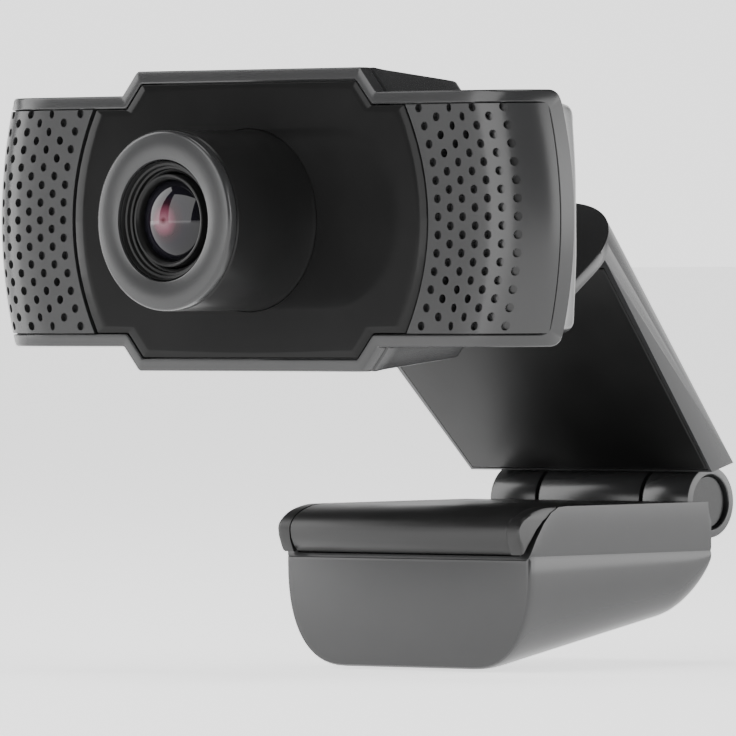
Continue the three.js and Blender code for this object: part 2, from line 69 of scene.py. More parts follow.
# Everything on the head is placed from the lens axis and from the face plane behind the barrel.
barrelLength = 13.3
ringMiddle = boxMiddle("lens_front_ring")
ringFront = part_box("lens_front_ring")[0][1]
origin = Vector((0, ringFront + barrelLength * mm, ringMiddle.z))


def at(x, y, z):
    return origin + Vector((x, y, z)) * mm


jointNamed = {joint["name"]: joint for joint in frame["joints"]}


def jointPlace(name):
    return (Vector(jointNamed[name]["pos_m"]) - origin) / mm


hingeAxis = jointPlace("clip_hinge")
tiltAxis = jointPlace("head_tilt")
plateSeat = jointPlace("head_swivel")
plateNormal = Vector(jointNamed["head_swivel"]["axis"])


def deselectAll():
    if bpy.context.object and bpy.context.object.mode == "EDIT":
        bpy.ops.object.mode_set(mode="OBJECT")
    bpy.ops.object.select_all(action="DESELECT")


def makeActive(piece):
    deselectAll()
    piece.select_set(True)
    bpy.context.view_layer.objects.active = piece


# Points that fell together are merged, and every face is turned outwards.
def fixNormals(piece):
    makeActive(piece)
    bpy.ops.object.mode_set(mode="EDIT")
    bpy.ops.mesh.select_all(action="SELECT")
    bpy.ops.mesh.remove_doubles(threshold=0.000002)
    bpy.ops.mesh.normals_make_consistent(inside=False)
    bpy.ops.object.mode_set(mode="OBJECT")


def newRing(name, points):
    deselectAll()
    bpy.ops.mesh.primitive_circle_add(vertices=len(points), radius=0.01)
    piece = bpy.context.object
    piece.name = piece.data.name = name
    for vertex, point in zip(piece.data.vertices, points):
        vertex.co = point
    return piece


# A ring is extruded through the rings that follow it. The ends are capped, unless the way is closed.
def loft(name, rings, closed=False, capped=True):
    rings = [[Vector(p) for p in ring] for ring in rings]
    piece = newRing(name, rings[0])
    count = len(rings[0])
    bpy.ops.object.mode_set(mode="EDIT")
    bpy.ops.mesh.select_mode(type="EDGE")
    bpy.ops.mesh.select_all(action="SELECT")
    path = rings[1:] + ([rings[0]] if closed else [])
    for ring in path:
        bpy.ops.mesh.extrude_edges_move()
        mesh = bmesh.from_edit_mesh(piece.data)
        mesh.verts.ensure_lookup_table()
        for vertex, point in zip(list(mesh.verts)[-count:], ring):
            vertex.co = point
        bmesh.update_edit_mesh(piece.data)
    if not closed and capped:
        bpy.ops.mesh.edge_face_add()
    bpy.ops.object.mode_set(mode="OBJECT")
    if not closed and capped:
        for vertex in piece.data.vertices:
            vertex.select = vertex.index < count
        for edge in piece.data.edges:
            edge.select = all(i < count for i in edge.vertices)
        for face in piece.data.polygons:
            face.select = False
        bpy.ops.object.mode_set(mode="EDIT")
        bpy.ops.mesh.edge_face_add()
        bpy.ops.object.mode_set(mode="OBJECT")
    fixNormals(piece)
    return piece


# The tool is cut away from the piece, or added to it, and is then gone.
def carve(piece, tool, operation="DIFFERENCE"):
    makeActive(piece)
    change = piece.modifiers.new("carve", "BOOLEAN")
    change.operation = operation
    change.solver = "EXACT"
    change.object = tool
    bpy.ops.object.modifier_apply(modifier=change.name)
    bpy.data.objects.remove(tool)
    return piece


def roundEdges(piece, width, segments=2, angle=40):
    makeActive(piece)
    change = piece.modifiers.new("round", "BEVEL")
    change.width = width * mm
    change.segments = segments
    change.limit_method = "ANGLE"
    change.angle_limit = math.radians(angle)
    bpy.ops.object.modifier_apply(modifier=change.name)
    return piece


def joinPieces(name, pieces):
    deselectAll()
    for piece in pieces:
        piece.select_set(True)
    bpy.context.view_layer.objects.active = pieces[0]
    bpy.ops.object.join()
    pieces[0].name = pieces[0].data.name = name
    return pieces[0]


# A radius of zero becomes a tiny one, so that a pole stays a ring of points.
tinyRadius = 0.02


def circle(radius, y, count):
    turns = [2 * math.pi * i / count for i in range(count)]
    return [at(radius * math.cos(t), y, radius * math.sin(t)) for t in turns]


# A closed profile of (radius, y) pairs turned about the lens axis.
def turned(name, profile, count):
    return loft(name, [circle(r, y, count) for r, y in profile], closed=True)


# The same for a profile that starts and ends on the axis.
def turnedPlug(name, profile, count):
    return loft(name, [circle(max(r, tinyRadius), y, count) for r, y in profile])


# Round pieces about the hinge's axis, from (radius, x) pairs.
def turnedX(name, profile, count=72):
    turns = [2 * math.pi * i / count for i in range(count)]
    rings = []
    for r, x in profile:
        radius = max(r, tinyRadius)
        rings.append([at(x, hingeAxis.y + radius * math.cos(t), hingeAxis.z + radius * math.sin(t))
                      for t in turns])
    return loft(name, rings)


def hullOf(name, points):
    piece = newRing(name, points)
    bpy.ops.object.mode_set(mode="EDIT")
    bpy.ops.mesh.select_all(action="SELECT")
    bpy.ops.mesh.convex_hull()
    bpy.ops.object.mode_set(mode="OBJECT")
    fixNormals(piece)
    return piece


# The last step of every piece: smooth shading, its material, its body and what it stands in for.
def finishPiece(piece, body, material, replaced=(), smooth=35):
    makeActive(piece)
    bpy.ops.object.shade_smooth_by_angle(angle=math.radians(smooth))
    piece.data.materials.clear()
    piece.data.materials.append(material)
    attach(piece, body)
    if replaced:
        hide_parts(*replaced)
    return piece


# A shader socket that can be used in sums.
class Value:
    def __init__(self, tree, socket):
        self.tree = tree
        self.socket = socket

    def math(self, operation, first, second):
        node = self.tree.nodes.new("ShaderNodeMath")
        node.operation = operation
        for slot, value in zip(node.inputs, (first, second)):
            if isinstance(value, Value):
                self.tree.links.new(value.socket, slot)
            else:
                slot.default_value = value
        return Value(self.tree, node.outputs[0])

    def __add__(self, other):
        return self.math("ADD", self, other)

    def __radd__(self, other):
        return self.math("ADD", other, self)

    def __sub__(self, other):
        return self.math("SUBTRACT", self, other)

    def __rsub__(self, other):
        return self.math("SUBTRACT", other, self)

    def __mul__(self, other):
        return self.math("MULTIPLY", self, other)

    def __rmul__(self, other):
        return self.math("MULTIPLY", other, self)

    def __truediv__(self, other):
        return self.math("DIVIDE", self, other)


# One material: its nodes, and what goes into its shader.
class Paint:
    def __init__(self, name):
        self.material = bpy.data.materials.new(name)
        self.material.use_nodes = True
        self.tree = self.material.node_tree
        self.shader = next(n for n in self.tree.nodes if n.type == "BSDF_PRINCIPLED")

    def node(self, kind, settings=None, inputs=None, output=0):
        node = self.tree.nodes.new(kind)
        for key, value in (settings or {}).items():
            if key == "stops":
                ramp = node.color_ramp
                while len(ramp.elements) < len(value):
                    ramp.elements.new(0.5)
                for element, (position, colour) in zip(ramp.elements, value):
                    element.position = position
                    element.color = colour
            else:
                setattr(node, key, value)
        for key, value in (inputs or {}).items():
            if isinstance(value, Value):
                self.tree.links.new(value.socket, node.inputs[key])
            else:
                node.inputs[key].default_value = value
        return Value(self.tree, node.outputs[output])

    def put(self, **values):
        for key, value in values.items():
            socket = self.shader.inputs[key.replace("_", " ")]
            if isinstance(value, Value):
                self.tree.links.new(value.socket, socket)
            else:
                socket.default_value = value
        return self.material

    def place(self):
        return self.node("ShaderNodeTexCoord", output=3)

    def noise(self, scale, detail=2.0, roughness=0.5):
        return self.node("ShaderNodeTexNoise", None, {
            "Vector": self.place(), "Scale": scale, "Detail": detail, "Roughness": roughness})

    def mixColours(self, factor, first, second):
        return self.node("ShaderNodeMix", {"data_type": "RGBA"}, {0: factor, 6: first, 7: second}, output=2)

    def bump(self, height, strength, distance):
        return self.node("ShaderNodeBump", None, {
            "Height": height, "Strength": strength, "Distance": distance})


def grey(level, tint=(1, 1, 1)):
    return (level * tint[0], level * tint[1], level * tint[2], 1)


# Moulded grey plastic with a fine spark-eroded texture and slight flow marks.
shellLook = {"dark": 0.024, "light": 0.030, "roughness": 0.23, "grain": 9000, "flow": 120, "shine": 0.5}


def shellPlastic(name="greyShell", shine=shellLook["shine"], shade=1.0):
    paint = Paint(name)
    grain = paint.noise(shellLook["grain"], 3, 0.6)
    flow = paint.noise(shellLook["flow"], 4, 0.55)
    smudge = paint.noise(45, 3, 0.6)
    cool = (shade, 1.01 * shade, 1.03 * shade)
    colour = paint.mixColours(flow, grey(shellLook["dark"], cool), grey(shellLook["light"], cool))
    rough = shellLook["roughness"] + 0.05 * (grain - 0.5) + 0.07 * (smudge - 0.5)
    return paint.put(Base_Color=colour, Roughness=rough, Specular_IOR_Level=shine,
                     Normal=paint.bump(grain, 0.12, 0.00002))


# Polished black, with faint wiping marks that only change its gloss.
def polishedBlack():
    paint = Paint("polishedBlack")
    smudge = paint.noise(60, 4, 0.6)
    wiping = paint.noise(700, 2, 0.5)
    rough = 0.07 + 0.07 * smudge + 0.02 * wiping
    colour = paint.mixColours(smudge, grey(0.008), grey(0.014))
    return paint.put(Base_Color=colour, Roughness=rough, Specular_IOR_Level=0.12)


# The barrel's black is a little softer than the face.
def satinBlack():
    paint = Paint("satinBlack")
    grain = paint.noise(6000, 3, 0.6)
    smudge = paint.noise(80, 3, 0.6)
    colour = paint.mixColours(smudge, grey(0.010), grey(0.016))
    rough = 0.24 + 0.08 * smudge + 0.03 * grain
    return paint.put(Base_Color=colour, Roughness=rough, Specular_IOR_Level=0.2,
                     Normal=paint.bump(grain, 0.08, 0.00001))


def softRubber(name="softRubber", shine=0.5):
    paint = Paint(name)
    grain = paint.noise(5200, 4, 0.7)
    dust = paint.noise(160, 4, 0.6)
    colour = paint.mixColours(dust, grey(0.006), grey(0.011))
    rough = 0.34 + 0.12 * dust
    return paint.put(Base_Color=colour, Roughness=rough, Specular_IOR_Level=shine,
                     Normal=paint.bump(grain, 0.2, 0.00002))


# Dark coated glass: almost black at the edge; round its middle a wine-red reflection of the lenses behind it
# is painted into its colour.
# reach is how far from the lens axis the painted reflection spreads.
domeLook = {"reach": 0.0042, "roughness": 0.02}


def domeGlassPaintedReflection():
    paint = Paint("domeGlassPaintedReflection")
    across = paint.node("ShaderNodeSeparateXYZ", None, {"Vector": paint.place()})
    up = paint.node("ShaderNodeSeparateXYZ", None, {"Vector": paint.place()}, output=2) - origin.z
    away = paint.node("ShaderNodeMath", {"operation": "SQRT"}, {0: across * across + up * up})
    cloud = paint.noise(900, 3, 0.6)
    place = away / domeLook["reach"] + 0.08 * (cloud - 0.5)
    # Painted reflection: the colour turns wine-red with distance from the lens axis, brightest in a ring near
    # the middle, near-black at the edge.
    colour = paint.node("ShaderNodeValToRGB", {"stops": [
        (0.0, (0.06, 0.010, 0.016, 1)), (0.12, (0.16, 0.07, 0.09, 1)), (0.27, (0.10, 0.028, 0.045, 1)),
        (0.42, (0.02, 0.006, 0.010, 1)), (0.62, (0.006, 0.005, 0.009, 1)),
        (1.0, (0.004, 0.004, 0.005, 1))]},
        {"Fac": place})
    rough = domeLook["roughness"] + 0.02 * cloud
    return paint.put(Base_Color=colour, Roughness=rough, Specular_IOR_Level=0.38, IOR=1.5)


def lensCoating():
    paint = Paint("lensCoating")
    facing = paint.node("ShaderNodeLayerWeight", None, {"Blend": 0.35}, output=1)
    colour = paint.node("ShaderNodeValToRGB", {"stops": [
        (0.0, (0.30, 0.05, 0.10, 1)), (0.35, (0.10, 0.02, 0.09, 1)), (0.8, (0.012, 0.008, 0.03, 1))]},
        {"Fac": facing})
    rough = 0.03 + 0.03 * paint.noise(300, 2, 0.5)
    return paint.put(Base_Color=colour, Roughness=rough, Metallic=0.6, Coat_Weight=1.0, Coat_Roughness=0.02)


def bareMetal(name, colour, roughness):
    paint = Paint(name)
    lines = paint.noise(2600, 2, 0.5)
    wear = paint.noise(300, 3, 0.6)
    shade = paint.mixColours(wear, colour, tuple(0.75 * c for c in colour[:3]) + (1,))
    rough = roughness + 0.12 * wear + 0.06 * lines
    return paint.put(Base_Color=shade, Metallic=1.0, Roughness=rough, Normal=paint.bump(lines, 0.1, 0.00001))


def boardLook():
    paint = Paint("solderMask")
    tracks = paint.node("ShaderNodeTexVoronoi", {"feature": "DISTANCE_TO_EDGE"},
                        {"Vector": paint.place(), "Scale": 900})
    lines = paint.node("ShaderNodeMath", {"operation": "LESS_THAN"}, {0: tracks, 1: 0.06})
    colour = paint.mixColours(lines, (0.01, 0.06, 0.025, 1), (0.03, 0.13, 0.06, 1))
    return paint.put(Base_Color=colour, Roughness=0.35 + 0.1 * lines)


def plainBlackPlastic():
    paint = Paint("innerBlack")
    grain = paint.noise(3000, 3, 0.6)
    colour = paint.mixColours(grain, grey(0.012), grey(0.02))
    return paint.put(Base_Color=colour, Roughness=0.5 + 0.1 * grain, Normal=paint.bump(grain, 0.1, 0.00002))


shell = shellPlastic()
gloss = polishedBlack()
satin = satinBlack()
rubber = softRubber()
steel = bareMetal("screwSteel", (0.55, 0.55, 0.56, 1), 0.25)
brass = bareMetal("insertBrass", (0.70, 0.50, 0.22, 1), 0.25)
board = boardLook()
innerBlack = plainBlackPlastic()
glass = domeGlassPaintedReflection()
armRubber = softRubber("armRubber", 0.2)
capShell = shellPlastic("capShell", 0.3, 0.5)
coating = lensCoating()
print("materials made")


# Distances across the head run along its front surface: flat, a wide arc, then a tight arc at the end.
headShape = {
    "flatRun": 30, "wideRadius": 60, "wideTurn": 3.44, "tightRadius": 6.87, "endRun": 43.6, "seamRun": 41.75,
    "sideZ": 13.4, "raisedZ": 16, "raisedX": 16, "stepX": 18.2, "rim": 1.3, "skin": 1.5,
    "panelX": 22.2, "panelBulge": 3.2, "endPull": 1.95,
}
hs = headShape
wideTurn = math.radians(hs["wideTurn"])
shoulderRun = hs["flatRun"] + hs["wideRadius"] * wideTurn
tightX = hs["flatRun"] + (hs["wideRadius"] - hs["tightRadius"]) * math.sin(wideTurn)
tightY = hs["wideRadius"] - (hs["wideRadius"] - hs["tightRadius"]) * math.cos(wideTurn)


# Where the front surface lies, and which way it faces, at a run from the middle.
def frontPlace(u):
    run = abs(u)
    if run <= hs["flatRun"]:
        return run, 0.0, 0.0
    if run <= shoulderRun:
        turn = (run - hs["flatRun"]) / hs["wideRadius"]
        return (hs["flatRun"] + hs["wideRadius"] * math.sin(turn),
                hs["wideRadius"] * (1 - math.cos(turn)), turn)
    turn = wideTurn + (run - shoulderRun) / hs["tightRadius"]
    return tightX + hs["tightRadius"] * math.sin(turn), tightY - hs["tightRadius"] * math.cos(turn), turn


# The ends draw in towards the top and the bottom.
def pullAt(u, z):
    ease = min(max((abs(u) - 27) / 6, 0), 1)
    return hs["endPull"] * (z / 13.2) ** 2 * ease * ease * (3 - 2 * ease)


# A point of the flat layout, carried onto the curved front; depth runs into the head.
def bent(u, depth, z):
    x, back, turn = frontPlace(u)
    side = 1 if u >= 0 else -1
    return at(side * (x - depth * math.sin(turn) - pullAt(u, z)), back + depth * math.cos(turn), z)


def bendPiece(piece):
    for vertex in piece.data.vertices:
        u, depth, z = (vertex.co - origin) / mm
        vertex.co = bent(u, depth, z)
    return piece


# A corner rounded into steps, between two straight runs.
def fillet(before, corner, after, radius, steps=6):
    a = (Vector(before) - Vector(corner)).normalized()
    b = (Vector(after) - Vector(corner)).normalized()
    angle = a.angle(b)
    reach = min(radius / math.tan(angle / 2), 0.45 * (Vector(before) - Vector(corner)).length,
                0.45 * (Vector(after) - Vector(corner)).length)
    start = Vector(corner) + a * reach
    end = Vector(corner) + b * reach
    points = []
    for i in range(steps + 1):
        t = i / steps
        points.append((1 - t) ** 2 * start + 2 * t * (1 - t) * Vector(corner) + t ** 2 * end)
    return points


# Corners (x, z, radius) become one closed outline with even runs between them.
def roundedOutline(corners, pieces):
    rounded = []
    count = len(corners)
    for i, (x, z, radius) in enumerate(corners):
        before = corners[i - 1][:2]
        after = corners[(i + 1) % count][:2]
        rounded.append(fillet(before, (x, z), after, radius))
    points = []
    for i, corner in enumerate(rounded):
        points += corner
        following = rounded[(i + 1) % count][0]
        steps = pieces[i]
        for k in range(1, steps):
            points.append(corner[-1].lerp(following, k / steps))
    return points


# The head's stepped outline; the ends stop at their own distance so that the rim can be thin there.
def headOutline(inset, endX):
    rise = inset * 0.45
    top = hs["raisedZ"] - inset
    side = hs["sideZ"] - inset
    half = [(hs["raisedX"] - rise, top, 0.5), (hs["stepX"] - rise, side, 0.5), (endX, side, 1.3)]
    right = half + [(x, -z, r) for x, z, r in reversed(half)]
    left = [(-x, z, r) for x, z, r in reversed(right)]
    pieces = [3, 24, 26, 24, 3, 32, 3, 24, 26, 24, 3, 32]
    return roundedOutline(right + left, pieces)


def panelOutline(inset):
    rise = (hs["rim"] + inset) * 0.45
    top = hs["raisedZ"] - hs["rim"] - inset
    side = hs["sideZ"] - hs["rim"] - inset
    edge = hs["panelX"] - inset
    bulge = []
    for i in range(1, 12):
        z = side * (1 - i / 6)
        bulge.append((edge + hs["panelBulge"] * (1 - (z / side) ** 2), z, 0.4))
    right = [(hs["raisedX"] - rise, top, 0.3), (hs["stepX"] - rise, side, 0.3), (edge, side, 0.2), *bulge,
             (edge, -side, 0.2), (hs["stepX"] - rise, -side, 0.3), (hs["raisedX"] - rise, -top, 0.3)]
    left = [(-x, z, r) for x, z, r in reversed(right)]
    pieces = [3, 3, *[2] * 12, 3, 3, 24]
    return roundedOutline(right + left, pieces + pieces)


def flatRing(outline, depth):
    return [at(p.x, depth, p.y) for p in outline]


# The rim: one band round the head whose section has small rounded edges.
def makeBezel():
    outer = [(0.0, 0.25), (0.08, 0.08), (0.25, 0.0)]
    endRun = hs["endRun"]
    inner = hs["rim"]
    section = [(i, endRun - 0.4 * i, d) for i, d in outer]
    section += [(inner - 0.12, hs["seamRun"] + 0.1, 0.0), (inner, hs["seamRun"] + 0.02, 0.1)]
    section += [(inner, hs["seamRun"] + 0.02, hs["skin"]), (0.0, endRun, hs["skin"])]
    rings = [flatRing(headOutline(inset, end), depth) for inset, end, depth in section]
    return bendPiece(loft("frontBezel", rings, closed=True))


panelShape = {"gap": 0.14, "opening": 9.75, "sunk": 0.12, "back": 1.1}


# The black face: rings run from its outline to the round opening for the barrel.
def makeFacePanel():
    gap, opening = panelShape["gap"], panelShape["opening"]
    outline = panelOutline(gap)
    hole = []
    for point in outline:
        turn = math.atan2(point.y, point.x)
        hole.append(Vector((opening * math.cos(turn), opening * math.sin(turn))))

    def between(t, inset):
        source = panelOutline(gap + inset) if inset else outline
        return [a.lerp(b, t) for a, b in zip(source, hole)]
    back, sunk = panelShape["back"], panelShape["sunk"]
    rings = [flatRing(between(0, 0), back), flatRing(between(0, 0), sunk + 0.1)]
    rings += [flatRing(between(0, 0.06), sunk + 0.02)]
    rings += [flatRing(between(t / 10, 0.1), sunk) for t in range(11)]
    rings += [flatRing(between(1, 0), back)]
    return bendPiece(loft("facePanel", rings, closed=True))


print("front surface laid out")


grille = {
    "columns": 7, "rows": 13, "pitchX": 1.707, "pitchZ": 1.9, "first": 26.89, "rise": 0.2,
    "bow": 2.51, "bowStep": 0.128, "bowHeight": 11.3,
    "hole": 0.47, "dimple": 0.62, "through": 3.0, "gap": 0.12, "stepsAcross": 48, "stepsUp": 44,
}


def panelEdge(z):
    side = hs["sideZ"] - hs["rim"]
    return hs["panelX"] + hs["panelBulge"] * (1 - (z / side) ** 2)


# Five holes near the top and five near the bottom go right through, for the microphones behind them.
openHoles = ((1, 1), (1, 2), (2, 1), (2, 2), (3, 1))


def isOpen(column, row, rows):
    return (column, row) in openHoles or (column, rows - 1 - row) in openHoles


# A plate with a staggered field of round dimples; its columns bow towards the panel at top and bottom.
def makeGrille(name, side):
    gap = grille["gap"]
    high = hs["sideZ"] - hs["rim"] - gap
    deselectAll()
    bpy.ops.mesh.primitive_grid_add(
        x_subdivisions=grille["stepsAcross"], y_subdivisions=grille["stepsUp"], size=2)
    plate = bpy.context.object
    for vertex in plate.data.vertices:
        across, upward = (vertex.co.x + 1) / 2, vertex.co.y
        z = high * upward
        start = panelEdge(z) + gap
        u = start + (hs["seamRun"] - 0.1 - start) * across
        vertex.co = at(side * u, 0, z)
    makeActive(plate)
    bpy.ops.object.mode_set(mode="EDIT")
    bpy.ops.mesh.select_all(action="SELECT")
    bpy.ops.mesh.extrude_region_move(TRANSFORM_OT_translate={"value": (0, hs["skin"] * mm, 0)})
    bpy.ops.object.mode_set(mode="OBJECT")
    fixNormals(plate)
    drills = []
    for column in range(grille["columns"]):
        odd = column % 2
        rows = grille["rows"] - odd
        for row in range(rows):
            z = (rows - 1) / 2 * grille["pitchZ"] - row * grille["pitchZ"] + grille["rise"]
            mid = grille["first"] + grille["pitchX"] * column
            bow = grille["bow"] - grille["bowStep"] * column
            u = mid - bow * (z / grille["bowHeight"]) ** 2 + pullAt(mid, z)
            depth = grille["through"] if isOpen(column, row, rows) else grille["dimple"]
            deselectAll()
            bpy.ops.mesh.primitive_cylinder_add(
                vertices=18, radius=grille["hole"] * mm, depth=2 * depth * mm,
                location=at(side * u, 0, z), rotation=(math.pi / 2, 0, 0))
            drills.append(bpy.context.object)
    tool = joinPieces("drills", drills)
    makeActive(tool)
    bpy.ops.object.transform_apply(location=True, rotation=True, scale=True)
    carve(plate, tool)
    plate.name = plate.data.name = name
    return bendPiece(plate)


rearShape = {
    "gap": 0.35, "taper": 1.15, "round": 1.0, "wall": 1.2, "drop": 0.12,
    "pull": 0.75, "lean": 0.3, "widest": 39.4,
}


# The back seen from above: nearly flat in the middle, then falling away quickly to the ends.
def rearPlan():
    line = [(0, 17.0), (8, 16.9), (16, 16.4), (22, 15.6), (28, 14.6), (32, 13.4), (35, 12.0), (37.2, 10.2),
            (38.7, 8.6), (39.6, 7.9)]
    points = []
    for i in range(len(line) - 1):
        for k in range(4):
            a, b = Vector(line[i]), Vector(line[i + 1])
            points.append(a.lerp(b, k / 4))
    return points + [Vector(line[-1])]


plan = rearPlan()


# The depth of the back surface behind a place across the head.
def backY(x):
    run = min(abs(x), plan[-1].x)
    for a, b in zip(plan, plan[1:]):
        if run <= b.x:
            return a.y + (b.y - a.y) * (run - a.x) / max(b.x - a.x, 0.001)
    return plan[-1].y


def makeRearShell():
    outline = headOutline(0.0, hs["endRun"])

    # Rings go from just behind the bezel to the back; blend is the part of the way gone.
    def ring(inset, blend, shift=0.0, wall=0.0):
        points = []
        for p in outline:
            x, back, turn = frontPlace(p.x)
            side = 1 if p.x >= 0 else -1
            outward = abs(p.x) / hs["endRun"]
            frontY = back + (hs["skin"] + rearShape["gap"]) * math.cos(turn)
            reach = x - pullAt(p.x, p.y) * rearShape["pull"] - hs["skin"] * math.sin(turn) * rearShape["lean"]
            reach = min(reach, rearShape["widest"])
            reach -= (inset * (0.4 + 0.9 * outward ** 6) + wall) * min(outward * 2.5, 1)
            depth = max(backY(reach) - shift - wall - frontY, 0.3)
            high = 1 - (inset + wall) / 14.0 - rearShape["drop"] * outward ** 10
            points.append(at(side * reach, frontY + depth * blend, p.y * high))
        return points

    # The way from the open front to the middle of the back, for the outside or for the inside.
    def skinRings(wall):
        rings = [ring(0.2, 0.0, 0, wall), ring(0.04, 0.012, 0, wall), ring(0.0, 0.04, 0, wall)]
        for step in (0.15, 0.3, 0.45, 0.6, 0.75, 0.88):
            rings.append(ring(rearShape["taper"] * step, step * 0.94, 0, wall))
        for turn in (0.0, 0.25, 0.5, 0.75, 1.0):
            angle = turn * math.pi / 2
            rings.append(ring(rearShape["taper"] + rearShape["round"] * (1 - math.cos(angle)), 1.0,
                              rearShape["round"] * (1 - math.sin(angle)), wall))
        last = rings[-1]
        for factor in (0.85, 0.6, 0.35, 0.12, 0.0):
            points = []
            for p in last:
                local = (p - origin) / mm
                points.append(at(local.x, local.y, local.z * factor))
            rings.append(points)
        return rings

    rings = list(reversed(skinRings(rearShape["wall"]))) + skinRings(0.0)
    return loft("rearShell", rings, capped=False)


lug = {"inner": 4.2, "outer": 7.2, "radius": 2.7, "rootHalf": 3.6, "sink": 0.6, "bevel": 0.25}


# Two ears on the back carry the tilt pin; each is the hull of a round end and a wider root.
def makeLugs():
    ears = []
    for side in (-1, 1):
        points = []
        for x in (side * lug["inner"], side * lug["outer"]):
            for i in range(28):
                angle = 2 * math.pi * i / 28
                points.append(at(x, tiltAxis.y + lug["radius"] * math.cos(angle),
                                 tiltAxis.z + lug["radius"] * math.sin(angle)))
            for z in (-lug["rootHalf"], lug["rootHalf"]):
                points.append(at(x, backY(x) - lug["sink"], tiltAxis.z + z))
        ear = hullOf("ear", points)
        roundEdges(ear, lug["bevel"], 2, 50)
        ears.append(ear)
    return ears


finishPiece(makeBezel(), "head", shell, ["front_bezel"])
finishPiece(makeFacePanel(), "head", gloss, ["face_panel"])
finishPiece(makeGrille("leftGrille", -1), "head", shell, ["left_grille"], 28)
finishPiece(makeGrille("rightGrille", 1), "head", shell, ["right_grille"], 28)
finishPiece(joinPieces("rearShell", [makeRearShell()] + makeLugs()), "head", shell,
            ["rear_housing"])
print("head shell made")


lensShape = {
    "barrel": 9.54, "ringInner": 6.4, "domeRadius": 4.29, "domeHalf": 42, "domePlace": 1.75,
    "innerRadius": 3.05, "innerHalf": 50, "innerPlace": -8.0,
    "ridges": 3, "ridgeStep": 0.33, "ridgeRise": 0.42,
}


# The front of a dome, from its edge to its tip; half is the angle from its axis to its edge.
def domeFront(radius, edge, half, steps):
    edgeAngle = math.radians(half)
    sphere = radius / math.sin(edgeAngle)
    points = []
    for step in range(steps + 1):
        angle = edgeAngle * (1 - step / steps)
        points.append((sphere * math.sin(angle), edge - sphere * (math.cos(angle) - math.cos(edgeAngle))))
    return points


def makeLens():
    ls = lensShape
    front = -barrelLength
    r = ls["barrel"]
    barrel = turned("lensBarrel", [
        (r - 1.1, 2.4), (r - 1.1, front + 1.3), (r - 0.45, front + 1.3), (r - 0.12, front + 1.33),
        (r, front + 1.5), (r, front + 5), (r, -5), (r, -0.25), (r + 0.1, -0.08), (r + 0.14, 0.3),
        (r + 0.14, 1.2), (r + 1.3, 1.6), (r + 1.3, 2.4)], 128)
    finishPiece(barrel, "head", satin, ["lens_barrel"])
    ring = turned("lensFrontRing", [
        (r - 0.08, front + 1.2), (r - 0.04, front + 0.4), (r - 0.1, front + 0.2), (r - 0.24, front + 0.06),
        (r - 0.45, front), (ls["ringInner"] + 0.2, front), (ls["ringInner"] + 0.06, front + 0.05),
        (ls["ringInner"], front + 0.2), (ls["ringInner"], front + 1.2)], 128)
    finishPiece(ring, "head", shell, ["lens_front_ring"])
    hood = [(5.05, -3), (6.25, -3), (6.3, front + 0.5), (6.28, front + 0.35), (6.2, front + 0.3)]
    radius, depth = 6.15, front + 0.4
    for ridge in range(ls["ridges"]):
        hood += [(radius, depth), (radius - 0.1, depth + 0.36), (radius - 0.3, depth + 0.42)]
        radius -= ls["ridgeStep"]
        depth += ls["ridgeRise"]
    hood += [(5.1, depth + 0.1), (5.05, depth + 0.4)]
    finishPiece(turned("lensHood", hood, 112), "head", satin, ["lens_hood"])
    cell = turned("lensCell", [
        (3.6, -2.2), (4.85, -2.2), (4.9, front + 0.98), (4.86, front + 0.86), (4.76, front + 0.8),
        (4.62, front + 0.84), (4.46, front + 1.05), (4.36, front + 1.2), (4.33, front + 1.4),
        (4.33, front + 3.6), (3.6, front + 3.9)], 112)
    finishPiece(cell, "head", satin, ["lens_cell"])
    edge = front + ls["domePlace"]
    dome = [(0, edge + 1.3), (1.8, edge + 1.3), (3.4, edge + 1.2), (4.1, edge + 0.9), (4.29, edge + 0.4)]
    dome += domeFront(ls["domeRadius"], edge, ls["domeHalf"], 12)
    finishPiece(turnedPlug("frontGlass", dome, 80), "head", glass, ["front_glass"])
    inner = [(0, -7.4), (2.0, -7.5), (3.05, -7.8)]
    inner += domeFront(ls["innerRadius"], ls["innerPlace"], ls["innerHalf"], 8)
    finishPiece(turnedPlug("innerLens", inner, 64), "head", coating, ["inner_lens"])


makeLens()
print("lens made")


armShape = {
    "halfWidth": 20.9, "rearCorner": 12, "frontCorner": 4.5, "front": -8.1, "thick": 1.3,
    "bottomHalf": 17.4, "innerTop": (34, -4.3), "innerBottom": (55.45, -27.55), "outerBottom": (59.3, -26.6),
}
ash = armShape
alongPlate = Vector((0, plateNormal.z, -plateNormal.y))


def onPlate(x, along, above=0):
    point = plateSeat + alongPlate * along + plateNormal * above
    return at(x, point.y, point.z)


def plateRing(inset, above, steps=24):
    points = []
    rear = ash["halfWidth"] - ash["rearCorner"]
    side = ash["halfWidth"] - ash["frontCorner"]
    for i in range(7):
        t = math.radians(-90 + 15 * i)
        r = ash["frontCorner"] - inset
        points.append((side + r * math.cos(t), ash["front"] + ash["frontCorner"] + r * math.sin(t)))
    for i in range(steps + 1):
        t = math.radians(90 * i / steps)
        r = ash["rearCorner"] - inset
        points.append((rear + r * math.cos(t), r * math.sin(t)))
    points += [(-x, a) for x, a in reversed(points)]
    return [onPlate(x, a, above) for x, a in points]


# A block on the arm's inner face, from its outline of (x, run) pairs and two heights above the face.
def innerBlock(name, outline, high, low):
    points = []
    for depth in (high, low):
        for x, run in outline:
            p = innerBottom + alongInner * run + innerNormal * depth
            points.append(at(x, p.y, p.z))
    return hullOf(name, points)


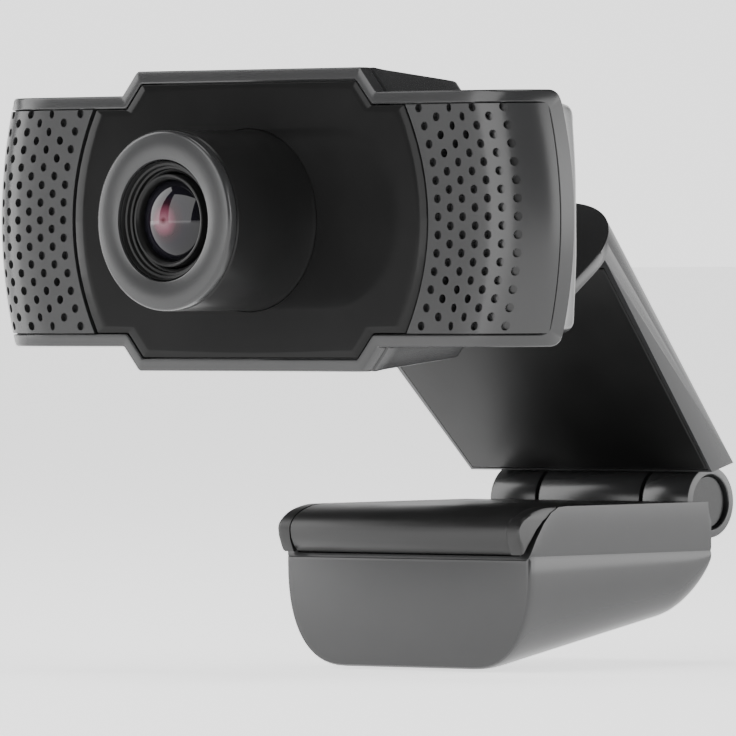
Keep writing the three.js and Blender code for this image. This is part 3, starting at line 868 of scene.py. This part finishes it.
innerBottom = Vector((0, *ash["innerBottom"]))
alongInner = (Vector((0, *ash["innerTop"])) - innerBottom).normalized()
innerNormal = Vector((0, -alongInner.z, alongInner.y))
padShape = {
    "lowHalf": 16.9, "highHalf": 19.6, "start": 0.4, "end": 30.2, "gap": 0.1, "high": 0.1, "low": -1.2,
}


def padOutline(grow):
    low, high = padShape["lowHalf"] + grow, padShape["highHalf"] + grow
    start, end = padShape["start"] - grow, padShape["end"] + grow
    return [(low, start), (high, end), (-high, end), (-low, start)]


def makeArm():
    slab = loft("clipArm", [plateRing(0.25, -ash["thick"]), plateRing(0.05, -ash["thick"] + 0.1),
                            plateRing(0, -ash["thick"] + 0.3), plateRing(0, -0.25), plateRing(0.08, -0.07),
                            plateRing(0.25, 0)])
    rear = [p for p in plateRing(0, -0.05) if ((p - origin) / mm).y > plateSeat.y + 1]
    outerY, outerZ = ash["outerBottom"]
    corners = []
    for side in (-1, 1):
        corners.append(at(side * ash["bottomHalf"], *ash["innerBottom"]))
        corners.append(at(side * (ash["bottomHalf"] - 0.2), outerY, outerZ))
        corners.append(at(side * ash["bottomHalf"], outerY - 0.5, outerZ + 0.3))
    leg = hullOf("leg", rear + corners)
    makeActive(leg)
    bpy.ops.object.mode_set(mode="EDIT")
    bpy.ops.mesh.select_all(action="SELECT")
    bpy.ops.mesh.bisect(
        plane_co=at(0, *ash["innerBottom"]), plane_no=innerNormal, use_fill=True, clear_outer=True)
    bpy.ops.object.mode_set(mode="OBJECT")
    fixNormals(leg)
    roundEdges(leg, 0.22, 2, 50)
    carve(slab, leg, "UNION")
    carve(slab, innerBlock("pocket", padOutline(padShape["gap"]), 0.15, -1.35))
    return slab


knuckleShape = {"radius": 3.95, "recess": 3.0, "recessDeep": 1.0, "inner": 7.7, "outer": 14.3}


# A hinge barrel; capSide says which of its ends has the recess for a cap, if any.
def makeKnuckle(name, x0, x1, capSide=0):
    r, recess = knuckleShape["radius"], knuckleShape["recess"]
    floor = x1 - knuckleShape["recessDeep"] if capSide > 0 else x0 + knuckleShape["recessDeep"]
    if capSide < 0:
        profile = [(0, floor), (recess, floor), (recess, x0 + 0.1), (recess + 0.08, x0)]
    else:
        profile = [(0, x0)]
    profile += [(r - 0.3, x0), (r - 0.1, x0 + 0.06), (r, x0 + 0.3)]
    profile += [(r, x1 - 0.3), (r - 0.1, x1 - 0.06), (r - 0.3, x1)]
    if capSide > 0:
        profile += [(recess + 0.08, x1), (recess, x1 - 0.1), (recess, floor), (0, floor)]
    else:
        profile += [(0, x1)]
    return turnedX(name, profile)


capShape = {"radius": 2.85, "root": 12.9, "face": 13.8}


def makeArmPieces():
    arm = makeArm()
    webs = []
    for side in (-1, 1):
        x0, x1 = sorted((side * knuckleShape["inner"], side * knuckleShape["outer"]))
        knuckle = makeKnuckle("knuckle", x0, x1, side)
        webSection = ((57.3, -27.0), (59.6, -26.9), (57.0, -29.2), (62.0, -29.0), (59.6, -29.5))
        web = hullOf("web", [at(x, y, z) for x in (side * 7.75, side * 12.7) for y, z in webSection])
        webs += [knuckle, web]
    arm = joinPieces("clipArm", [arm, *webs])
    finishPiece(arm, "arm", shell, ["clip_arm"], 30)
    pad = innerBlock("armGrip", padOutline(0), padShape["high"], padShape["low"])
    roundEdges(pad, 0.2, 3, 40)
    finishPiece(pad, "arm", armRubber, ["arm_pad"])
    for side, word in ((-1, "left"), (1, "right")):
        root, face = side * capShape["root"], side * capShape["face"]
        r = capShape["radius"]
        cap = turnedX(word + "HingeCap", [
            (0, root), (r, root), (r, face - side * 0.1), (r - 0.1, face), (0, face)])
        finishPiece(cap, "arm", capShell, [word + "_hinge_cap"])


makeArmPieces()
print("clip arm made")


footShape = {
    "half": 17.5, "top": -30.75, "band": 5.3, "lipY": 25.0, "lipBottom": -48.2, "slope": 0.204,
    "backY": 55.2, "relief": 4.25, "armRelief": 4.6, "chamferY": 30.4, "flatHalf": 9.0,
}
fs = footShape


def footBottom(y):
    bottom = fs["lipBottom"] + max(y - fs["lipY"] - 1.5, 0) * fs["slope"]
    if y > 50.5:
        t = min((y - 50.5) / (fs["backY"] - 50.5), 1)
        end = fs["top"] - fs["band"] - 0.9
        bottom += (end - bottom) * (1 - math.sqrt(max(1 - t ** 2, 0)))
    return bottom


def footTop(y):
    if y >= fs["chamferY"]:
        return fs["top"]
    t = (fs["chamferY"] - y) / (fs["chamferY"] - fs["lipY"])
    return fs["top"] - 5.5 * t ** 1.9


# One section of the foot across its width: a straight band, a shallow crease, then a full lower curve.
def footSection(y, inset=0.0):
    top, bottom = footTop(y) - inset * 0.5, footBottom(y) + inset
    half = fs["half"] - inset
    crease = min(fs["top"] - fs["band"], top - 0.3)
    depth = crease - 0.35 - bottom
    flat = max(fs["half"] - 8.5 * min(depth / 12.1, 1) ** 0.7, fs["flatHalf"]) - inset
    points = [(half, top), (half, crease + 0.35), (half - 0.1, crease), (half, crease - 0.35)]
    for i in range(1, 17):
        t = math.pi / 2 * i / 16
        across, down = math.cos(t) ** (2 / 2.4), math.sin(t) ** (2 / 2.4)
        points.append((flat + (half - flat) * across, crease - 0.35 - depth * down))
    points += [(-x, z) for x, z in reversed(points)]
    return [at(x, y, z) for x, z in points]


gripShape = {
    "half": 15.65, "endHalf": 17.35, "back": 52.6, "noseStart": 28.9, "nose": 23.5, "noseDrop": 2.75,
    "deep": 5.1, "underFront": 27.2, "underBack": 29.2, "thick": 1.6,
}
gs = gripShape


# The pad's rounded front, from its flat top round to its foremost line.
def noseArc():
    points = []
    for i in range(13):
        t = math.pi * 0.5 * i / 12
        points.append((gs["noseStart"] - (gs["noseStart"] - gs["nose"]) * math.sin(t),
                       fs["top"] - gs["noseDrop"] * (1 - math.cos(t))))
    return points


def gripProfile():
    top = fs["top"]
    low, under = top - gs["deep"], top - gs["thick"]
    chin = []
    for i in range(1, 5):
        t = math.pi * 0.5 * i / 4
        chin.append((gs["nose"] + 1.5 * (1 - math.cos(t)),
                     top - gs["noseDrop"] - (gs["deep"] - gs["noseDrop"]) * math.sin(t)))
    return [(gs["back"], top), (46, top), (38, top), *noseArc(), *chin, (gs["underFront"], low),
            (gs["underBack"], under), (gs["back"], under)]


# Each end of the nose fills the space up to the slanted front of the shell's side wall.
def noseProfile():
    front = [(23.6, 3.7), (23.9, 4.5), (24.2, 5.1)]
    wall = [(24.42, 5.1), (24.9, 4.5), (25.6, 3.6), (26.3, 2.6), (27.4, 1.4), (28.8, 0.45), (29.8, 0)]
    return noseArc() + [(y, fs["top"] - down) for y, down in front + wall]


# A profile carried across the foot; shrink draws it in at the ends, so that their edges are round.
def prismX(name, profile, stations):
    centreY = sum(p[0] for p in profile) / len(profile)
    centreZ = sum(p[1] for p in profile) / len(profile)
    rings = []
    for x, shrink in stations:
        long, deep = 1 - shrink / 14, 1 - shrink / 2.2
        rings.append([at(x, centreY + (y - centreY) * long, centreZ + (z - centreZ) * deep)
                      for y, z in profile])
    return loft(name, rings)


def makeFoot():
    stations = [(25.0, 0.45), (25.05, 0.22), (25.2, 0.07), (25.45, 0.0)]
    y = 26.2
    while y < 47.5:
        stations.append((y, 0.0))
        y += 1.2
    stations += [(47.5 + 3 * t, 0.0) for t in (0.0, 0.35, 0.7, 1.0)]
    stations += [(50.5 + 4.7 * t, 0.0) for t in (0.2, 0.4, 0.55, 0.68, 0.78, 0.86, 0.92, 0.96, 0.985)]
    stations += [(55.17, 0.06), (55.2, 0.2)]
    foot = loft("footShell", [footSection(y, inset) for y, inset in stations])
    reliefs = [(fs["relief"], -30, 30), (fs["armRelief"], -14.6, -7.4), (fs["armRelief"], 7.4, 14.6)]
    for radius, x0, x1 in reliefs:
        carve(foot, turnedX("relief", [(0, x0), (radius, x0), (radius, x1), (0, x1)]))
    wellTop, wellLow, wellFloor = fs["top"] + 6, fs["top"] - 5.25, fs["top"] - 2.0
    well = [(53.0, wellTop), (15, wellTop), (15, wellLow), (27.3, wellLow), (29.3, wellFloor)]
    well += [(53.0, wellFloor)]
    carve(foot, loft("pocket", [[at(x, y, z) for y, z in well] for x in (-15.9, 15.9)]))
    core = makeKnuckle("footKnuckle", -7.3, 7.3)
    webSection = ((52.8, -32.6), (52.8, -37.2), (57.5, -32.2), (57.5, -34.4))
    web = hullOf("web", [at(x, y, z) for x in (-7.2, 7.2) for y, z in webSection])
    foot = joinPieces("footShell", [foot, core, web])
    finishPiece(foot, "foot", shell, ["foot_shell"], 30)
    half, endHalf = gs["half"], gs["endHalf"]
    pad = prismX("footGrip", gripProfile(), [
        (-half, 0.35), (-half + 0.08, 0.12), (-half + 0.3, 0.0), (half - 0.3, 0.0), (half - 0.08, 0.12),
        (half, 0.35)])
    parts = [pad]
    for side in (-1, 1):
        stations = [(half + 0.01, 0.0), (endHalf - 0.45, 0.0), (endHalf - 0.13, 0.12), (endHalf, 0.45)]
        stations = [(side * x, shrink) for x, shrink in stations]
        if side < 0:
            stations.reverse()
        parts.append(prismX("nose", noseProfile(), stations))
    pad = joinPieces("footGrip", parts)
    finishPiece(pad, "foot", rubber, ["foot_pad"])


makeFoot()
print("foot made")


keptLooks = {
    "neck": shell, "arm_cover": shell, "cable_inlet": rubber, "swivel_nut": steel, "tilt_pin": steel,
    "hinge_pin": steel, "tripod_insert": brass, "main_board": board, "lens_holder": innerBlack,
    "image_sensor": innerBlack, "left_microphone": innerBlack, "right_microphone": innerBlack,
    "housing_screw_1": steel, "housing_screw_2": steel, "housing_screw_3": steel, "housing_screw_4": steel,
}
for node, look in keptLooks.items():
    slots = frame["nodes"][node].material_slots
    for slot in slots:
        slot.material = look
print("kept pieces painted")


studio = {
    "azimuth": 42.41, "elevation": -0.155, "distance": 1.1977, "lens": 553.0, "turn": 0.609, "drop": 0.748,
    "roll": -0.34, "floorGap": 0.0003, "floorGlow": 1.42,
}


def makeFloor():
    deselectAll()
    low = cadBox[0][2] - studio["floorGap"]
    bpy.ops.mesh.primitive_grid_add(x_subdivisions=8, y_subdivisions=8, size=40, location=(0, 0, low))
    floor = bpy.context.object
    floor.name = "floor"
    paint = Paint("paleFloor")
    soft = paint.noise(3, 2, 0.5)
    shade = paint.mixColours(soft, grey(0.84), grey(0.86))
    floor.data.materials.append(paint.put(
        Base_Color=shade, Roughness=0.9, Emission_Color=grey(1.0), Emission_Strength=studio["floorGlow"]))


def direction(azimuth, elevation):
    a, e = math.radians(azimuth), math.radians(elevation)
    return Vector((math.sin(a) * math.cos(e), -math.cos(a) * math.cos(e), math.sin(e)))


# A soft panel of light; its size is in metres and its glow is its brightness.
def addSoftbox(name, azimuth, elevation, distance, size, glow, target):
    back = direction(azimuth, elevation)
    data = bpy.data.lights.new(name, "AREA")
    data.shape = "RECTANGLE"
    data.size, data.size_y = size
    data.energy = glow * math.pi * size[0] * size[1]
    light = bpy.data.objects.new(name, data)
    bpy.context.scene.collection.objects.link(light)
    light.location = target + back * distance
    light.rotation_mode = "QUATERNION"
    light.rotation_quaternion = (-back).to_track_quat("-Z", "Y")
    light.visible_camera = False


lights = {
    "leftBox": (-66, 19, 0.75, (0.374, 0.72), 4.4),
    "frontBox": (-6, 19, 0.75, (0.66, 0.72), 3.6),
    "rightBox": (122, 10, 0.75, (1.15, 0.6), 3.3),
    "sun": 0.8,
    "horizon": 2.1,
    "front": 0.05,
}


def makeLights():
    middle = at(0, 10, -12)
    for name in ("leftBox", "frontBox", "rightBox"):
        azimuth, elevation, distance, size, glow = lights[name]
        addSoftbox(name, azimuth, elevation, distance, size, glow, middle)
    data = bpy.data.lights.new("overhead", "SUN")
    data.energy = lights["sun"]
    data.angle = math.radians(30)
    sun = bpy.data.objects.new("overhead", data)
    bpy.context.scene.collection.objects.link(sun)
    sun.location = (0, 0, 1)
    world = bpy.data.worlds.new("studioAir")
    bpy.context.scene.world = world
    world.use_nodes = True
    tree = world.node_tree
    background = tree.nodes["Background"]
    place = tree.nodes.new("ShaderNodeTexCoord")
    split = tree.nodes.new("ShaderNodeSeparateXYZ")
    tree.links.new(place.outputs["Generated"], split.inputs[0])
    behind = Value(tree, split.outputs["Y"])
    height = Value(tree, split.outputs["Z"])

    def ramp(value, low, high):
        node = tree.nodes.new("ShaderNodeMapRange")
        node.interpolation_type = "SMOOTHSTEP"
        tree.links.new(value.socket, node.inputs[0])
        node.inputs[1].default_value = low
        node.inputs[2].default_value = high
        return Value(tree, node.outputs[0])
    glow = ramp(behind, -0.15, 0.35) * (1 - ramp(height, 0.12, 0.5))
    strength = lights["front"] + (lights["horizon"] - lights["front"]) * glow
    background.inputs[0].default_value = grey(1.0)
    tree.links.new(strength.socket, background.inputs[1])


def makeCamera():
    data = bpy.data.cameras.new("camera")
    data.lens = studio["lens"]
    data.sensor_width = 36
    data.clip_start, data.clip_end = 0.1, 40
    camera = bpy.data.objects.new("camera", data)
    bpy.context.scene.collection.objects.link(camera)
    a = math.radians(studio["azimuth"])
    back = direction(studio["azimuth"], studio["elevation"])
    camera.location = origin + back * studio["distance"]
    right = Vector((math.cos(a), math.sin(a), 0))
    up = back.cross(right)
    roll = math.radians(studio["roll"])
    rightTurned = right * math.cos(roll) + up * math.sin(roll)
    upTurned = -right * math.sin(roll) + up * math.cos(roll)
    aim = Matrix((rightTurned, upTurned, back)).transposed()
    swing = Matrix.Rotation(-math.radians(studio["turn"]), 3, "Y") @ Matrix.Rotation(
        -math.radians(studio["drop"]), 3, "X")
    camera.rotation_mode = "QUATERNION"
    camera.rotation_quaternion = (aim @ swing).to_quaternion()
    bpy.context.scene.camera = camera


makeFloor()
makeLights()
makeCamera()
print("studio made")
